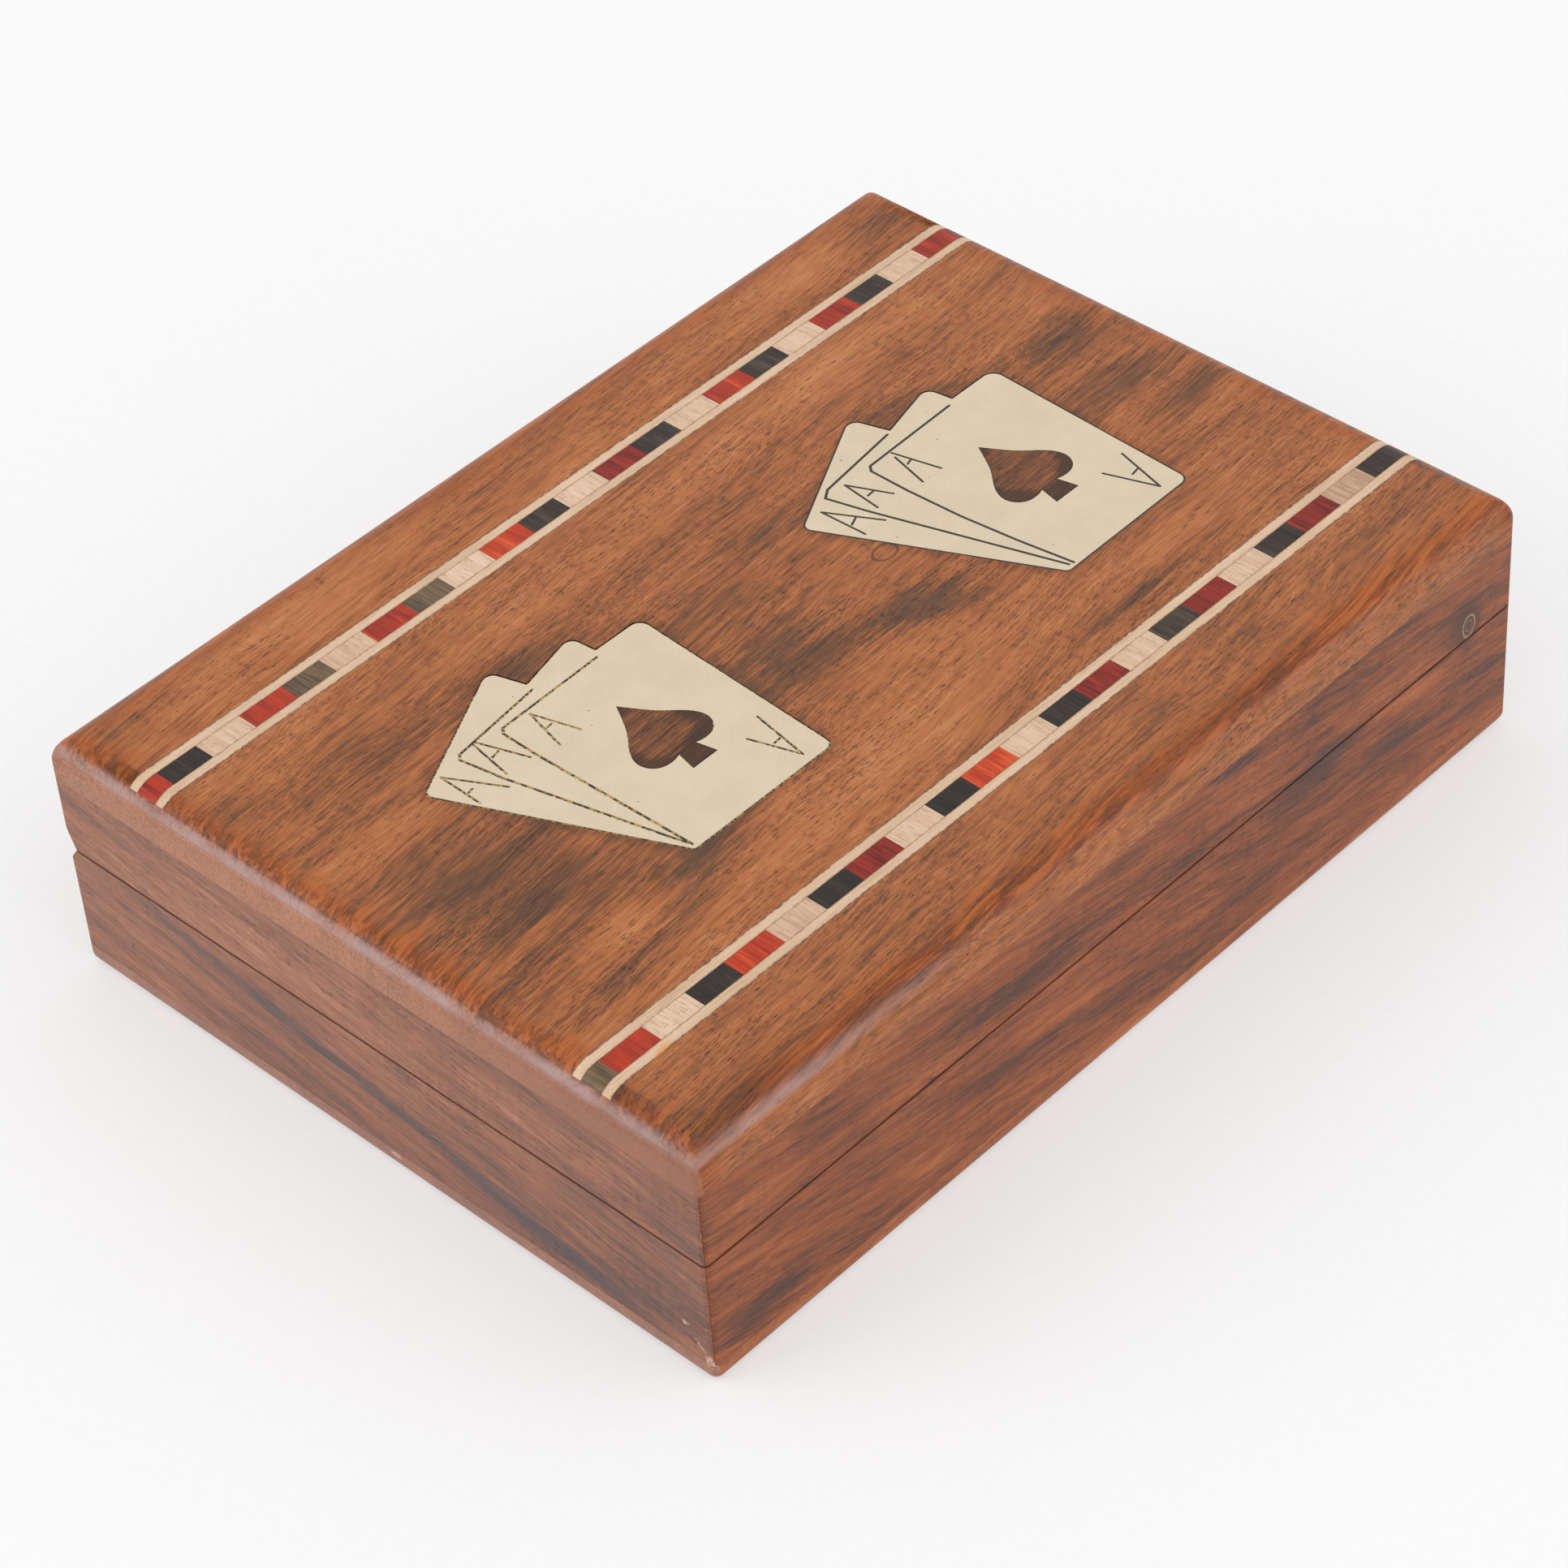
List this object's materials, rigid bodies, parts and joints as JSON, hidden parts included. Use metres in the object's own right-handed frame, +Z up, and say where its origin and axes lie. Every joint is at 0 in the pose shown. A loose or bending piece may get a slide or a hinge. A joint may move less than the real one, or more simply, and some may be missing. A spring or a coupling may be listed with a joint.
{
  "type": "hinged playing card box",
  "caption": "Small hinged wooden box with two side-by-side wells for playing cards, a rounded inlaid lid and brass card-fan ornaments.",
  "frame": {"origin": "middle of the underside of the closed box", "axes": "+X right along the front of the box (its longest side), +Y to the back where the hinges are, +Z up"},
  "size_m": [0.152, 0.112, 0.0384],
  "materials": {
    "sheesham_board": "sheesham (Indian rosewood), sanded, satin varnish",
    "sheesham_wall": "sheesham (Indian rosewood), sanded, satin varnish",
    "sheesham_spade": "dark sheesham, sanded flush, satin varnish",
    "maple_string": "pale close-grained wood, sanded flush, satin varnish",
    "white_inlay_wood": "pale wood laid across the band, sanded flush, satin varnish",
    "red_inlay_wood": "red-stained wood, sanded flush, satin varnish",
    "black_inlay_wood": "black-stained wood, sanded flush, satin varnish",
    "inlay_brass": "pale yellow brass sheet, sanded flush, satin",
    "hinge_brass": "yellow brass, rolled and drawn",
    "lining_felt": "flocked felt, deep red, matt"
  },
  "bodies": {
    "base": {"base_bottom": "sheesham_board", "base_front_wall": "sheesham_wall", "base_back_wall": "sheesham_wall", "base_left_wall": "sheesham_wall", "base_right_wall": "sheesham_wall", "base_divider": "sheesham_wall", "left_well_lining": "lining_felt", "right_well_lining": "lining_felt", "left_hinge_base_leaf": "hinge_brass", "right_hinge_base_leaf": "hinge_brass", "left_hinge_pin": "hinge_brass", "right_hinge_pin": "hinge_brass", "base_hinge_screws": "hinge_brass"},
    "lid": {"lid_panel": "sheesham_board", "lid_front_wall": "sheesham_wall", "lid_back_wall": "sheesham_wall", "lid_left_wall": "sheesham_wall", "lid_right_wall": "sheesham_wall", "lid_lining": "lining_felt", "left_hinge_lid_leaf": "hinge_brass", "right_hinge_lid_leaf": "hinge_brass", "lid_hinge_screws": "hinge_brass", "left_brass_fan": "inlay_brass", "right_brass_fan": "inlay_brass", "left_spade_insert": "sheesham_spade", "right_spade_insert": "sheesham_spade", "back_band_outer_string": "maple_string", "back_band_inner_string": "maple_string", "back_band_red_blocks": "red_inlay_wood", "back_band_white_blocks": "white_inlay_wood", "back_band_black_blocks": "black_inlay_wood", "front_band_outer_string": "maple_string", "front_band_inner_string": "maple_string", "front_band_red_blocks": "red_inlay_wood", "front_band_white_blocks": "white_inlay_wood", "front_band_black_blocks": "black_inlay_wood"}
  },
  "joints": [
    {"name": "lid_hinge", "type": "hinge", "parent": "base", "child": "lid", "pos_m": [0, 0.0542, 0.0202], "axis": [-1, 0, 0], "range_deg": [0, 120]}
  ]
}
